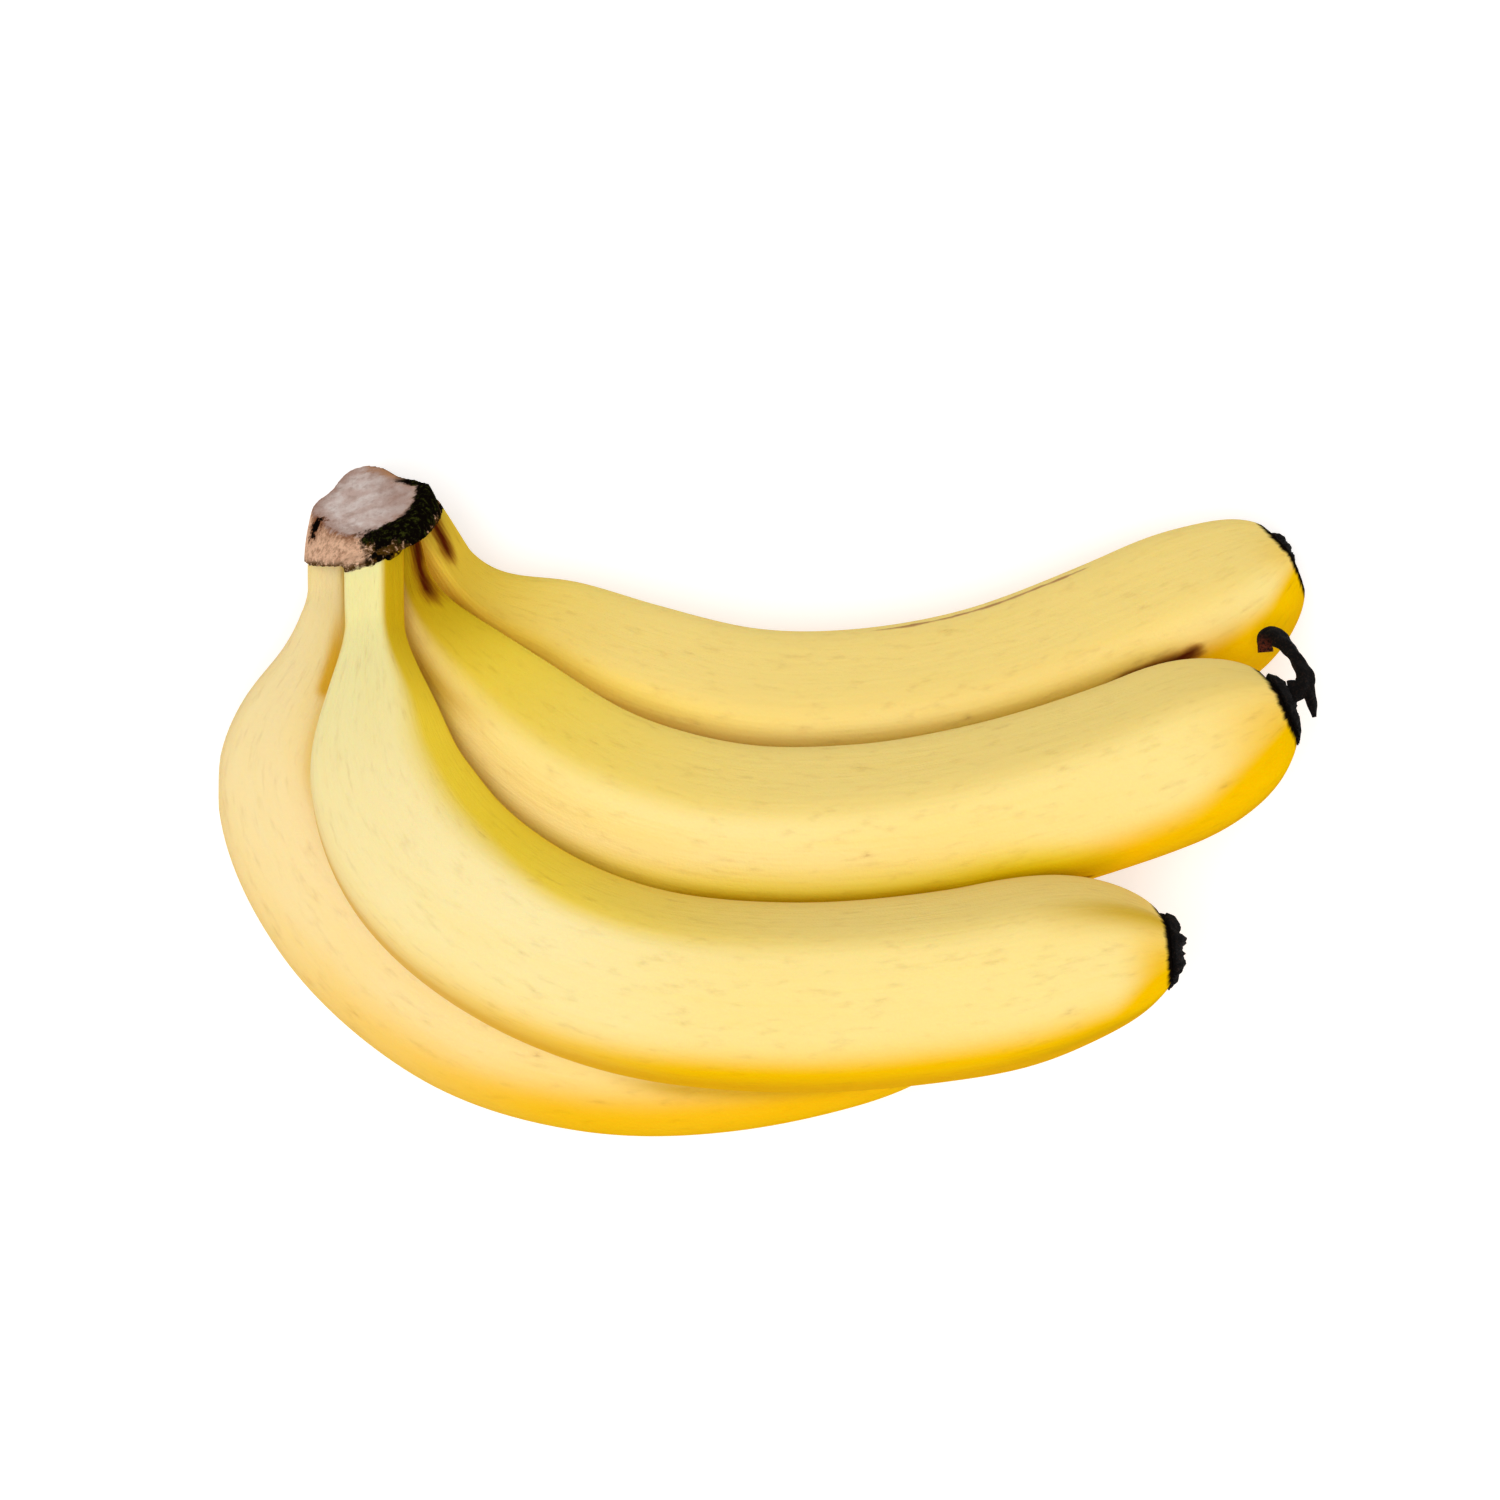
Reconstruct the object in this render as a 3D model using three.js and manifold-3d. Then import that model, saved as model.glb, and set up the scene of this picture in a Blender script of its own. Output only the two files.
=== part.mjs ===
// A bunch of four bananas lying on its side, as cut from the hand: one crown, four fingers
// and the dried flower end at the tip of each finger. Millimetres, +Z up, lying on z = 0.
//
// Fingers 1 and 4 lie on the surface. Fingers 2 and 3 lie on top of them. All four bend
// the same way, from the crown at the upper left to their flower ends at the right.

import * as THREE from 'three';
import { mergeVertices } from 'three/addons/utils/BufferGeometryUtils.js';
import Module from 'manifold-3d';

const wasm = await Module();
wasm.setup();

// ---- Driving dimensions -------------------------------------------------------------------

const GAP = 0.3; // left between pieces that touch
const FOOTPRINT_MIDDLE = [3.4, -8.9, 0]; // where the origin goes, in the routes' coordinates

// Each finger: the route of its middle from the crown to the flower end, its full thickness,
// the width of its neck as a share of that, the length of the straight neck, the length over
// which the tip closes, and the angle of its most visible ridge, counted from the inside of
// the bend over the top, with how far that ridge has turned by the tip. Its flower end has a
// radius and a length.
const FINGERS = [
  {
    name: 'finger_1',
    route: [[-84.8, 44, 26.5], [-85.4, 21, 23], [-92.6, -5, 18.6], [-81, -31, 17],
      [-58.5, -50.8, 17], [-32.5, -59.3, 17], [-5, -59.3, 17], [24.5, -52.5, 18], [50, -41, 20]],
    thickness: 38, neckShare: 0.34, neck: 8, tip: 36, ridge: 80, twist: 0,
    flower: { radius: 6.8, length: 4.5 },
  },
  {
    name: 'finger_2',
    route: [[-76.4, 37.5, 48], [-75.8, 22, 51.2], [-74.6, 6.5, 55], [-73, -9.8, 57.6],
      [-65.6, -25.5, 58.6], [-53, -37.8, 58.8], [-35.4, -47.5, 58.2], [-14.5, -53.3, 58],
      [13, -55, 58.7], [41.5, -52.3, 58.3], [65.5, -46.8, 55.6], [82.2, -44.5, 53.2]],
    thickness: 38.5, neckShare: 0.32, neck: 16.5, tip: 36, ridge: 68, twist: 0,
    flower: { radius: 7.4, length: 3.2 },
  },
  {
    name: 'finger_3',
    route: [[-73.6, 44, 35], [-67.8, 25.4, 35.2], [-53.3, 5, 37.4], [-32.5, -11.4, 40.8],
      [-5.5, -19.8, 41.2], [22, -20.3, 41.2], [49, -15.8, 41.2], [76, -7.5, 41.2],
      [97.5, 1.6, 41.2], [107.5, 6.4, 41.2]],
    thickness: 38, neckShare: 0.3, neck: 8.5, tip: 27, ridge: 92, twist: -22,
    flower: { radius: 7.6, length: 2.6 },
  },
  {
    name: 'finger_4',
    route: [[-69.6, 50.3, 24.9], [-57.8, 33.8, 21], [-42.5, 25, 16], [-25, 15.8, 16.8],
      [-2, 9.2, 17], [22, 8.7, 17], [48, 13.2, 17], [73.5, 22.7, 17], [96, 33.3, 17.2],
      [110.7, 43.1, 16]],
    thickness: 38, neckShare: 0.32, neck: 12, tip: 33, ridge: 100, twist: 0,
    flower: { radius: 5.6, length: 2.2 },
  },
];

const RINGS = 34; // cross-sections along a finger
const CROWDING = 0.09; // how much closer they stand towards both ends
const SIDES = 20; // corners of one cross-section
const FACES = 5; // flat faces round a finger, with a blunt ridge between each two
const THICKNESS_TO_FACE = 2.2; // full thickness over the distance from middle to flat face
const FLARE = { reach: 26, power: 1.6 }; // how the neck widens into the body
const TIP = { share: 0.36, power: 2.2, bluntness: 0.65 }; // how the body closes to a blunt tip

// The ridges' sharpness, higher is sharper: at each end it fades into the body's over a reach.
const ROUNDING = { neck: 10, neckReach: 30, body: 6.5, tip: 8, tipReach: 15 };
const SLANT_REACH = 15; // length of neck that follows the slant of the crown's underside
const LOOK_AHEAD = 12; // a cross-section faces the way that the route goes over this far each way

// The crown is a slab cut slanting from the stalk. Its axis is level and points away from
// the fingers; its underside and its cut face both lean towards that axis at the top. The
// outline of each is an oval with worn corners, or full ones where the depth is below zero.
const CROWN = {
  centre: [-78.6, 49.4, 36], heading: 111, halfWidth: 13.4, halfHeight: 17.5, lean: 2.2,
  underside: {
    offset: -7.2, slant: 24, size: 1, shift: -0.2,
    corners: [
      { angle: -180, width: 30, depth: -0.18 },
      { angle: -130, width: 20, depth: 0.06 },
      { angle: -66, width: 42, depth: -0.27 },
    ],
  },
  cut: {
    offset: 0.8, slant: 33.5, size: 0.88, shift: 1.4,
    corners: [
      { angle: -120, width: 27, depth: 0.14 },
      { angle: -80, width: 32, depth: -0.24 },
      { angle: -27, width: 29, depth: 0.21 },
    ],
  },
  sides: 28, levels: 4, swell: 0.03, bulge: 0.03,
};

// The dry stub at each tip: from the tip to its torn end, how far along its length and how
// wide over its radius. Its edge is torn into a few teeth.
const STUB = {
  reach: [0, 0.25, 0.7, 1], width: [0.86, 1, 0.86, 0.6], sides: 15, teeth: 5, tear: 0.13,
};

// The dried style that still hangs from the flower end of finger 3, and its broken spur.
const STYLE = {
  curl: [[109.2, 9.8, 42], [111.4, 10.4, 42.6], [112.3, 12.4, 42.6], [111.5, 15, 41.8],
    [109.8, 18.3, 40.2], [107.8, 21.2, 38.2], [106.2, 22.6, 36.4], [105, 21.4, 35.2],
    [105.1, 19.4, 34.8]],
  curlRadius: [2.1, 1.9, 1.7, 1.4, 1.4, 1.6, 1.8, 1.9, 1.5],
  spur: [[112.3, 11.2, 42.6], [113.4, 8, 42.4], [114, 4.6, 42.2]],
  spurRadius: [1.6, 1.1, 0.5],
  sides: 7,
};

// ---- Shape helpers ------------------------------------------------------------------------

const rad = THREE.MathUtils.degToRad;
const vec = (p) => new THREE.Vector3(...p);
const UP = new THREE.Vector3(0, 0, 1);

// Closed rings of points joined into one body, with a fan over each end.
function solidFromRings(rings) {
  const sides = rings[0].length;
  const position = rings.flat().flatMap((p) => [p.x, p.y, p.z]);
  const index = [];
  for (let r = 0; r + 1 < rings.length; r += 1) {
    for (let s = 0; s < sides; s += 1) {
      const a = r * sides + s;
      const b = r * sides + ((s + 1) % sides);
      index.push(a, b, b + sides, a, b + sides, a + sides);
    }
  }
  for (const [ring, flip] of [[0, true], [rings.length - 1, false]]) {
    const middle = new THREE.Vector3();
    rings[ring].forEach((p) => middle.addScaledVector(p, 1 / sides));
    const centre = position.length / 3;
    position.push(middle.x, middle.y, middle.z);
    for (let s = 0; s < sides; s += 1) {
      const a = ring * sides + s;
      const b = ring * sides + ((s + 1) % sides);
      index.push(...(flip ? [centre, b, a] : [centre, a, b]));
    }
  }
  const geometry = new THREE.BufferGeometry();
  geometry.setAttribute('position', new THREE.Float32BufferAttribute(position, 3));
  geometry.setIndex(index);
  return geometry;
}

function curveThrough(points) {
  const curve = new THREE.CatmullRomCurve3(points.map(vec), false, 'catmullrom', 0.5);
  curve.arcLengthDivisions = 600;
  return curve;
}

// The cross directions of a route: towards the inside of the bend, and upwards.
function crossDirections(along) {
  const inward = UP.clone().cross(along).normalize();
  return { inward, up: along.clone().cross(inward).normalize() };
}

// The way a finger goes at a share of its route, steadied over a stretch so that neighbouring
// cross-sections don't meet on the inside of the bend.
function heading(curve, share) {
  const reach = LOOK_AHEAD / curve.getLength();
  const from = curve.getPointAt(Math.max(0, share - reach));
  return curve.getPointAt(Math.min(1, share + reach)).sub(from).normalize();
}

// A rounded polygon: 1 at the middle of each flat face, a little more at each ridge.
function facetRadius(angle, ridge, sharpness) {
  let sum = 0;
  for (let face = 0; face < FACES; face += 1) {
    const middle = ridge + (Math.PI / FACES) * (2 * face + 1);
    sum += Math.max(0, Math.cos(angle - middle)) ** sharpness;
  }
  return sum ** (-1 / sharpness);
}

function toManifold(geometry) {
  const merged = mergeVertices(geometry, 1e-5);
  return new wasm.Manifold(new wasm.Mesh({
    numProp: 3,
    vertProperties: new Float32Array(merged.attributes.position.array),
    triVerts: new Uint32Array(merged.index.array),
  }));
}

function fromManifold(manifold) {
  const mesh = manifold.getMesh();
  const geometry = new THREE.BufferGeometry();
  geometry.setAttribute('position', new THREE.Float32BufferAttribute(mesh.vertProperties, 3));
  geometry.setIndex(Array.from(mesh.triVerts));
  return geometry;
}

// ---- Crown --------------------------------------------------------------------------------

const crownAxis = new THREE.Vector3(Math.cos(rad(CROWN.heading)), Math.sin(rad(CROWN.heading)), 0);
const crownAcross = UP.clone().cross(crownAxis).negate(); // to the right, seen from the fingers

// The normal of a slanted plane of the crown, and a point on it.
function crownPlane({ offset, slant }) {
  const normal = crownAxis.clone().multiplyScalar(Math.cos(rad(slant)))
    .addScaledVector(UP, Math.sin(rad(slant)));
  return { normal, point: vec(CROWN.centre).addScaledVector(crownAxis, offset) };
}

// Reach of the crown's outline round its oval, at its underside or its cut, with a slight
// bulge over each neck.
function crownOutline(angle, end) {
  let reach = 1 + CROWN.bulge * (Math.sin(3 * angle + 2.6) + Math.sin(5 * angle + 2));
  for (const corner of end.corners) {
    const away = (angle - rad(corner.angle)) / rad(corner.width);
    reach -= corner.depth * Math.exp(-(away ** 2));
  }
  return end.size * reach;
}

function crownGeometry() {
  const rings = [];
  for (let level = 0; level <= CROWN.levels; level += 1) {
    const t = level / CROWN.levels;
    const between = (key) => THREE.MathUtils.lerp(CROWN.underside[key], CROWN.cut[key], t);
    const slope = Math.tan(rad(between('slant')));
    const swell = CROWN.swell * Math.sin(Math.PI * t);
    const ring = [];
    for (let s = 0; s < CROWN.sides; s += 1) {
      const angle = (-2 * Math.PI * s) / CROWN.sides;
      const [low, high] = [CROWN.underside, CROWN.cut].map((end) => crownOutline(angle, end));
      const reach = THREE.MathUtils.lerp(low, high, t) + swell;
      const x = reach * (CROWN.halfWidth * Math.cos(angle) + CROWN.lean * Math.sin(angle));
      const y = reach * CROWN.halfHeight * Math.sin(angle);
      ring.push(vec(CROWN.centre)
        .addScaledVector(crownAcross, x + between('shift'))
        .addScaledVector(UP, y)
        .addScaledVector(crownAxis, between('offset') - y * slope));
    }
    rings.push(ring);
  }
  return solidFromRings(rings);
}

// ---- Fingers ------------------------------------------------------------------------------

// The share of full thickness at a distance from the crown and from the flower end.
function girth(fromCrown, fromTip, finger) {
  const past = Math.max(0, fromCrown - finger.neck) / FLARE.reach;
  const widened = 1 - Math.exp(-(past ** FLARE.power));
  const open = Math.min(1, fromTip / finger.tip);
  const opened = (1 - (1 - open) ** TIP.power) ** TIP.bluntness;
  return THREE.MathUtils.lerp(finger.neckShare, 1, widened)
    * THREE.MathUtils.lerp(TIP.share, 1, opened);
}

function fingerRing(finger, curve, share) {
  const length = curve.getLength();
  const fromCrown = share * length;
  const fromTip = length - fromCrown;
  const middle = curve.getPointAt(share);
  const along = heading(curve, share);
  const { inward, up } = crossDirections(along);
  const radius = (girth(fromCrown, fromTip, finger) * finger.thickness) / THICKNESS_TO_FACE;
  const sharpness = ROUNDING.body
    + (ROUNDING.neck - ROUNDING.body) * Math.exp(-fromCrown / ROUNDING.neckReach)
    + (ROUNDING.tip - ROUNDING.body) * Math.exp(-fromTip / ROUNDING.tipReach);
  const ridge = rad(finger.ridge + finger.twist * share ** 2);
  const ring = [];
  for (let s = 0; s < SIDES; s += 1) {
    const angle = ridge + (2 * Math.PI * s) / SIDES;
    const reach = radius * facetRadius(angle, ridge, sharpness);
    ring.push(middle.clone()
      .addScaledVector(inward, reach * Math.cos(angle))
      .addScaledVector(up, reach * Math.sin(angle)));
  }
  return { ring, along, fromCrown };
}

function fingerGeometry(finger) {
  const curve = curveThrough(finger.route);
  const { normal, point } = crownPlane(CROWN.underside);
  const first = fingerRing(finger, curve, 0);
  // how far each corner of the first ring is from the crown's underside, less the gap
  const slide = first.ring.map((p) => (
    (normal.dot(point.clone().sub(p)) - GAP) / normal.dot(first.along)
  ));
  const rings = [];
  for (let r = 0; r <= RINGS; r += 1) {
    const t = r / RINGS;
    const share = t - CROWDING * Math.sin(2 * Math.PI * t);
    const { ring, along, fromCrown } = fingerRing(finger, curve, share);
    const follow = Math.max(0, 1 - fromCrown / SLANT_REACH);
    ring.forEach((p, s) => {
      p.addScaledVector(along, slide[s] * follow);
      p.z = Math.max(0, p.z); // the fruit's own weight flattens it where it lies
    });
    rings.push(ring);
  }
  return solidFromRings(rings);
}

// ---- Flower ends --------------------------------------------------------------------------

// A short dry stub: a ragged collar against the tip, closing to a torn, hollowed end.
function stubGeometry(finger) {
  const curve = curveThrough(finger.route);
  const tip = curve.getPointAt(1);
  const along = heading(curve, 1);
  const { inward, up } = crossDirections(along);
  const { radius, length } = finger.flower;
  const rings = STUB.reach.map((reach, level) => {
    const ring = [];
    for (let s = 0; s < STUB.sides; s += 1) {
      const angle = (2 * Math.PI * s) / STUB.sides;
      const torn = STUB.tear * level * Math.sin(STUB.teeth * angle + finger.ridge);
      const r = (radius + torn) * STUB.width[level];
      ring.push(tip.clone()
        .addScaledVector(along, GAP + reach * length + torn)
        .addScaledVector(inward, r * Math.cos(angle))
        .addScaledVector(up, r * Math.sin(angle)));
    }
    return ring;
  });
  return solidFromRings(rings);
}

// A thin dry strand along a route, thicker and thinner as its radii say.
function strandGeometry(points, radii) {
  const curve = curveThrough(points);
  const steps = (points.length - 1) * 3;
  const rings = [];
  for (let step = 0; step <= steps; step += 1) {
    const t = step / steps;
    const middle = curve.getPoint(t);
    const { inward, up } = crossDirections(curve.getTangent(t));
    const at = t * (radii.length - 1);
    const low = Math.min(Math.floor(at), radii.length - 2);
    const radius = THREE.MathUtils.lerp(radii[low], radii[low + 1], at - low);
    const ring = [];
    for (let s = 0; s < STYLE.sides; s += 1) {
      const angle = (2 * Math.PI * s) / STYLE.sides;
      ring.push(middle.clone()
        .addScaledVector(inward, radius * Math.cos(angle))
        .addScaledVector(up, radius * Math.sin(angle)));
    }
    rings.push(ring);
  }
  return solidFromRings(rings);
}

function flowerEndGeometry(finger) {
  const stub = stubGeometry(finger);
  if (finger.name !== 'finger_3') return stub;
  const curl = toManifold(strandGeometry(STYLE.curl, STYLE.curlRadius));
  const spur = toManifold(strandGeometry(STYLE.spur, STYLE.spurRadius));
  return fromManifold(toManifold(stub).add(curl).add(spur));
}

// ---- The bunch ----------------------------------------------------------------------------

const PEEL = { color: 0xf2d468, roughness: 0.45, metalness: 0 };
const CROWN_SKIN = { color: 0xb79a88, roughness: 0.8, metalness: 0 };
const DRIED = { color: 0x1b1613, roughness: 0.85, metalness: 0 };

const bunch = new THREE.Group();
bunch.position.copy(vec(FOOTPRINT_MIDDLE).negate());

function addPiece(name, geometry, finish) {
  const mesh = new THREE.Mesh(geometry, new THREE.MeshStandardMaterial(finish));
  mesh.name = name;
  bunch.add(mesh);
}

addPiece('crown', crownGeometry(), CROWN_SKIN);
for (const finger of FINGERS) {
  addPiece(finger.name, fingerGeometry(finger), PEEL);
  addPiece(finger.name.replace('finger', 'flower_end'), flowerEndGeometry(finger), DRIED);
}

export default bunch;
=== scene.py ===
"""The looks of a bunch of four ripe bananas lying on its side.

Shapes are worked out in millimetres, in the coordinates that the fingers' routes are given
in. shown() writes each finished mesh in metres, in the frame that the solids are in.
"""

import math

import bpy
import numpy as np
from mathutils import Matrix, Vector, kdtree, noise


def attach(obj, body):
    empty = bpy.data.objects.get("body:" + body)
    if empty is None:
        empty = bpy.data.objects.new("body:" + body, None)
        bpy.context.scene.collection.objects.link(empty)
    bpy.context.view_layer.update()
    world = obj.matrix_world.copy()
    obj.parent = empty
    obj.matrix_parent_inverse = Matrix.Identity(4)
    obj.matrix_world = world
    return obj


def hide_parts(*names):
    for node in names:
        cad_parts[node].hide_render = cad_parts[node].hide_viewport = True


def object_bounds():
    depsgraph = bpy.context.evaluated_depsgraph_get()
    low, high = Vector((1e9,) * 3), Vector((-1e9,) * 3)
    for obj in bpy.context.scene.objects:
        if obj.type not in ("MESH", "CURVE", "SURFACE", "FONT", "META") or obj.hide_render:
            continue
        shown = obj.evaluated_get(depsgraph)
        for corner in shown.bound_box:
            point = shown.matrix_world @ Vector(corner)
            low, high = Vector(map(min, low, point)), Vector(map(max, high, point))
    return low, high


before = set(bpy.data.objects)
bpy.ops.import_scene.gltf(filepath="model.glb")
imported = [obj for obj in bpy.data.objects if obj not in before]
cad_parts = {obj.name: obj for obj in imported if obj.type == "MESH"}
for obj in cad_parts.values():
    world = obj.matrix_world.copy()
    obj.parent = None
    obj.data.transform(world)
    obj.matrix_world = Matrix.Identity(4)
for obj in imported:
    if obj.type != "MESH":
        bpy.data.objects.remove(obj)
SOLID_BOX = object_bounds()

# ---- The bunch's driving dimensions, millimetres and degrees ------------------------------

MM = 0.001
FOOTPRINT_MIDDLE = np.array([3.4, -8.9, 0.0])  # where the frame's origin is, on the routes

# A finger's route runs along its middle, from the crown to its flower end. Its neck is a
# neck_share of its thickness, and widens from so many millimetres down; its body closes over
# the millimetres of its tip. Angles round it go from the inside of its bend over its top: ridge
# is where its main ridge is, twist how far that has turned at the tip, and flower_peak where
# the torn rim of the flower end stands highest.
#
# Then how it is coloured, 0 to 1: blush is peach all over, green and deep yellow are at the
# neck, and shade is the olive of the side within the bend, painted shade where it turns away
# from the light, which fades over shade_reach. Gold, painted shade too, begins so many degrees
# past the main ridge, and so many millimetres from the tip. crevice is how far from another
# finger the skin still turns olive, the painted shade of the crevice.
FINGERS = [
    {
        "name": "finger_1",
        "route": [
            (-84.8, 44, 26.5), (-85.4, 21, 23), (-92.6, -5, 18.6), (-81, -31, 17),
            (-58.5, -50.8, 17), (-32.5, -59.3, 17), (-5, -59.3, 17), (24.5, -52.5, 18),
            (50, -41, 20),
        ],
        "thickness": 38, "neck_share": 0.34, "neck": 8, "tip": 36, "ridge": 80, "twist": 0,
        "flower_radius": 6.8, "flower_length": 4.5, "flower_peak": 46,
        "blush": 1, "green": 0.1, "deep": 0, "shade": 0.7, "shade_reach": (20, 125),
        "gold_from": 30, "gold_side": 0.85, "gold_tip": 0.7, "gold_reach": 20, "crevice": 6,
    },
    {
        "name": "finger_2",
        "route": [
            (-76.4, 37.5, 48), (-75.8, 22, 51.2), (-74.6, 6.5, 55), (-73, -9.8, 57.6),
            (-65.6, -25.5, 58.6), (-53, -37.8, 58.8), (-35.4, -47.5, 58.2), (-14.5, -53.3, 58),
            (13, -55, 58.7), (41.5, -52.3, 58.3), (65.5, -46.8, 55.6), (82.2, -44.5, 53.2),
        ],
        "thickness": 38.5, "neck_share": 0.32, "neck": 16.5, "tip": 36, "ridge": 68, "twist": 0,
        "flower_radius": 7.4, "flower_length": 3.2, "flower_peak": 76,
        "blush": 0.2, "green": 1, "deep": 0, "shade": 1, "shade_reach": (75, 165),
        "gold_from": 50, "gold_side": 1, "gold_tip": 0.7, "gold_reach": 16, "crevice": 5,
    },
    {
        "name": "finger_3",
        "route": [
            (-73.6, 44, 35), (-67.8, 25.4, 35.2), (-53.3, 5, 37.4), (-32.5, -11.4, 40.8),
            (-5.5, -19.8, 41.2), (22, -20.3, 41.2), (49, -15.8, 41.2), (76, -7.5, 41.2),
            (97.5, 1.6, 41.2), (107.5, 6.4, 41.2),
        ],
        "thickness": 38, "neck_share": 0.3, "neck": 8.5, "tip": 27, "ridge": 92, "twist": -22,
        "flower_radius": 7.6, "flower_length": 2.6, "flower_peak": 46,
        "blush": 0.2, "green": 0.3, "deep": 0.4, "shade": 1, "shade_reach": (20, 125),
        "gold_from": 40, "gold_side": 1, "gold_tip": 0.55, "gold_reach": 30, "crevice": 9,
    },
    {
        "name": "finger_4",
        "route": [
            (-69.6, 50.3, 24.9), (-57.8, 33.8, 21), (-42.5, 25, 16), (-25, 15.8, 16.8),
            (-2, 9.2, 17), (22, 8.7, 17), (48, 13.2, 17), (73.5, 22.7, 17), (96, 33.3, 17.2),
            (110.7, 43.1, 16),
        ],
        "thickness": 38, "neck_share": 0.32, "neck": 12, "tip": 33, "ridge": 100, "twist": 0,
        "flower_radius": 5.6, "flower_length": 2.2, "flower_peak": 30,
        "blush": 0, "green": 0.1, "deep": 1, "shade": 0.7, "shade_reach": (5, 70),
        "gold_from": 6, "gold_side": 1, "gold_tip": 0.35, "gold_reach": 12, "crevice": 8.5,
    },
]

FACES = 5  # flat faces round a finger, with a blunt ridge between each two
THICKNESS_TO_FACE = 2.2  # full thickness over the distance from middle to flat face
FLARE_REACH, FLARE_POWER = 26, 1.6  # how the neck widens into the body
TIP_SHARE, TIP_POWER, TIP_BLUNTNESS = 0.36, 2.2, 0.65  # how the body closes to its tip
# How sharp the ridges are, and how far along the neck's and the tip's sharpness reaches
RIDGES = {"neck": 10, "neck_reach": 30, "body": 6.5, "tip": 8, "tip_reach": 15}
SLANT_REACH = 15  # length of neck that follows the slant of the crown's underside
LOOK_AHEAD = 12  # a cross-section faces the way that the route goes over this far each way
JOINT_GAP = 0.3  # between the crown and the necks, and between the peel and the flower ends

# The crown is a slab on an oval, between two slanted planes: its underside, where the necks
# begin, and the cut. lean tilts the oval, bulge makes it uneven and swell rounds its side.
CROWN = {
    "centre": np.array([-78.6, 49.4, 36]), "heading": 111,
    "half_width": 13.4, "half_height": 17.5, "lean": 2.2,
    "swell": 0.03, "bulge": 0.03,
    # worn corners, or full ones: where, how wide in degrees, how deep
    "underside": {
        "offset": -7.2, "slant": 24, "size": 1, "shift": -0.2,
        "corners": [(-180, 30, -0.18), (-130, 20, 0.06), (-66, 42, -0.27)],
    },
    "cut": {
        "offset": 0.8, "slant": 33.5, "size": 0.88, "shift": 1.4,
        "corners": [(-120, 27, 0.14), (-80, 32, -0.24), (-27, 29, 0.21)],
    },
}

# The dry style on the flower end of finger 3, and its short broken spur
STYLE_CURL = [
    (109.2, 9.8, 42), (111.4, 10.4, 42.6), (112.3, 12.4, 42.6), (111.5, 15, 41.8),
    (109.8, 18.3, 40.2), (107.8, 21.2, 38.2), (106.2, 22.6, 36.4), (105, 21.4, 35.2),
    (105.1, 19.4, 34.8),
]
STYLE_CURL_RADIUS = [2.1, 1.9, 1.7, 1.4, 1.4, 1.6, 1.8, 1.9, 1.5]
STYLE_SPUR = [(112.3, 11.2, 42.6), (113.4, 8, 42.4), (114, 4.6, 42.2)]
STYLE_SPUR_RADIUS = [1.6, 1.1, 0.5]

# Long marks on the skin, and some painted shade laid on like them: on which finger, from where
# to where, as millimetres down from the crown and degrees past the main ridge, half their width
# in millimetres, and over how many millimetres they fade at each end.
STAINS = {
    "bruise_and_slit_shade": [
        {"finger": "finger_4", "from": (-3, -42), "to": (15, -20), "width": 1.7, "fade": (3, 6)},
        {"finger": "finger_3", "from": (-2, -62), "to": (22, -42), "width": 2, "fade": (3, 8)},
        # these two are painted shade: the dark slits where finger 3 meets finger 4, and where
        # finger 2 meets finger 3
        {"finger": "finger_4", "from": (153, 19), "to": (179, 24), "width": 2, "fade": (12, 4)},
        {"finger": "finger_3", "from": (146, 62), "to": (171, 82), "width": 0.8, "fade": (14, 3)},
    ],
    # painted shade: shadows of necks and fingers on their neighbours, dark slits between fingers,
    # and the darker edges of finger 2's tip
    "painted_shade": [
        {"finger": "finger_3", "from": (6, 40), "to": (56, 2), "width": 2.4, "fade": (8, 24)},
        {"finger": "finger_3", "from": (132, 48), "to": (180, 76), "width": 3, "fade": (34, 10)},
        {"finger": "finger_4", "from": (14, 25), "to": (112, 21), "width": 2, "fade": (8, 50)},
        {"finger": "finger_3", "from": (88, 54), "to": (152, 58), "width": 1.6, "fade": (16, 14)},
        {"finger": "finger_1", "from": (138, 34), "to": (192, 62), "width": 2, "fade": (18, 10)},
        {"finger": "finger_2", "from": (190, -3), "to": (224, -3), "width": 4.5, "fade": (26, 0.5)},
        {"finger": "finger_2", "from": (176, 98), "to": (224, 94), "width": 4.5, "fade": (26, 0.5)},
    ],
    # painted shade: finger 1's flank beside finger 2's neck, and the slit between fingers 1 and 2
    "amber_shade": [
        {"finger": "finger_1", "from": (8, 6), "to": (34, 3), "width": 1.4, "fade": (20, 4)},
        {"finger": "finger_2", "from": (0, 92), "to": (42, 86), "width": 1.7, "fade": (26, 18)},
    ],
    "scuff": [
        {
            "finger": "finger_4", "from": (100, -68), "to": (176, -68),
            "width": 0.8, "fade": (20, 20),
        },
    ],
}
BLACK_SPOT = np.array([-89.2, 45.4, 36])  # a dead spot on the rim of the cut

# ---- Camera and light ---------------------------------------------------------------------

LOOK_AT = np.array([0, 0, 30])
ELEVATION = math.radians(80)
CAMERA_DISTANCE = 1100  # millimetres
LENS = 129.36
NEAREST_SEEN = 0.05  # metres
AIR_GLOW = 0.5
FLOOR_GLOW = 0.42
FLOOR_HALF = 3.0  # metres from the floor's middle to its edges
SOFTBOX_DISTANCE, SOFTBOX_SIZE = 2.4, 1.3  # metres


def to_frame(points):
    """Points on the routes, millimetres, as points of the frame, metres."""
    return (np.asarray(points, float) - FOOTPRINT_MIDDLE) * MM


def aim(thing, place, target):
    """Puts a camera or a light at a place, looking at a target, with its top towards +Z."""
    thing.location = place
    thing.rotation_euler = Vector(target - place).to_track_quat("-Z", "Y").to_euler()
    bpy.context.scene.collection.objects.link(thing)


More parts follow.
